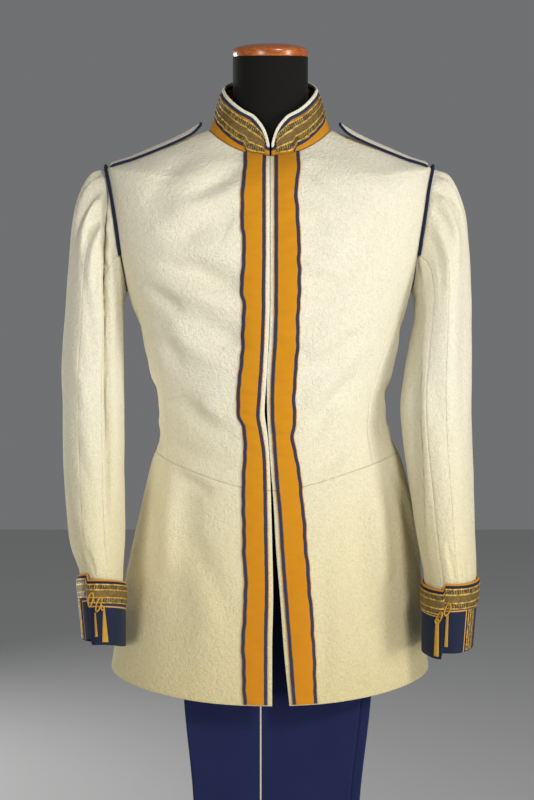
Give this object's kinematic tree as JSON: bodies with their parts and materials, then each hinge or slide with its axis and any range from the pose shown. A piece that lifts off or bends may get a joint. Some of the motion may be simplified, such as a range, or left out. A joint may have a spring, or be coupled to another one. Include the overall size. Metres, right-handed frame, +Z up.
{
  "type": "military uniform on a limbless dress form",
  "caption": "Cream kersey tunic with orange and blue front bands, gold lace on its collar and cuffs, and navy trousers hung folded, on a black dress form with a wooden cap and a round foot.",
  "frame": {"origin": "centre of the underside of the round foot, at floor level under the middle of the form", "axes": "+Z up, the uniform's front faces -Y, +X is to the right as seen from the front"},
  "size_m": [0.5536, 0.32, 1.6813],
  "materials": {
    "kersey_cream": "milled wool kersey, fine felted nap, matt",
    "band_orange": "woven wool band with blue border stripes, matt",
    "lace_gold": "aged metal thread lace, low sheen",
    "cord_yellow": "yellow silk cord and flat braid",
    "cloth_navy": "smooth navy wool broadcloth",
    "piping_pale": "thin pale cloth piping",
    "form_black": "matt black jersey cover",
    "cap_wood": "varnished orange-brown beech",
    "stand_black": "satin black paint"
  },
  "bodies": {
    "root": {"tunic_front_left": "kersey_cream", "tunic_front_right": "kersey_cream", "tunic_side_left": "kersey_cream", "tunic_side_right": "kersey_cream", "tunic_back_left": "kersey_cream", "tunic_back_right": "kersey_cream", "tunic_skirt_left": "kersey_cream", "tunic_skirt_right": "kersey_cream", "sleeve_top_left": "kersey_cream", "sleeve_top_right": "kersey_cream", "sleeve_under_left": "kersey_cream", "sleeve_under_right": "kersey_cream", "shoulder_strap_left": "kersey_cream", "shoulder_strap_right": "kersey_cream", "collar": "band_orange", "front_band_left": "band_orange", "front_band_right": "band_orange", "collar_lace_left": "lace_gold", "collar_lace_right": "lace_gold", "cuff_lace_left": "lace_gold", "cuff_lace_right": "lace_gold", "cuff_lace_down_left": "lace_gold", "cuff_lace_down_right": "lace_gold", "cuff_tail_left_a": "cord_yellow", "cuff_tail_left_b": "cord_yellow", "cuff_tail_right_a": "cord_yellow", "cuff_tail_right_b": "cord_yellow", "cuff_left": "cloth_navy", "cuff_right": "cloth_navy", "armhole_piping_left": "cloth_navy", "armhole_piping_right": "cloth_navy", "trousers_near_leg_front": "cloth_navy", "trousers_near_leg_back": "cloth_navy", "trousers_far_leg_front": "cloth_navy", "trousers_far_leg_back": "cloth_navy", "trousers_waistband": "cloth_navy", "trousers_side_piping": "piping_pale", "form_torso": "form_black", "form_cap": "cap_wood", "form_pole": "stand_black", "form_foot": "stand_black"}
  },
  "joints": []
}
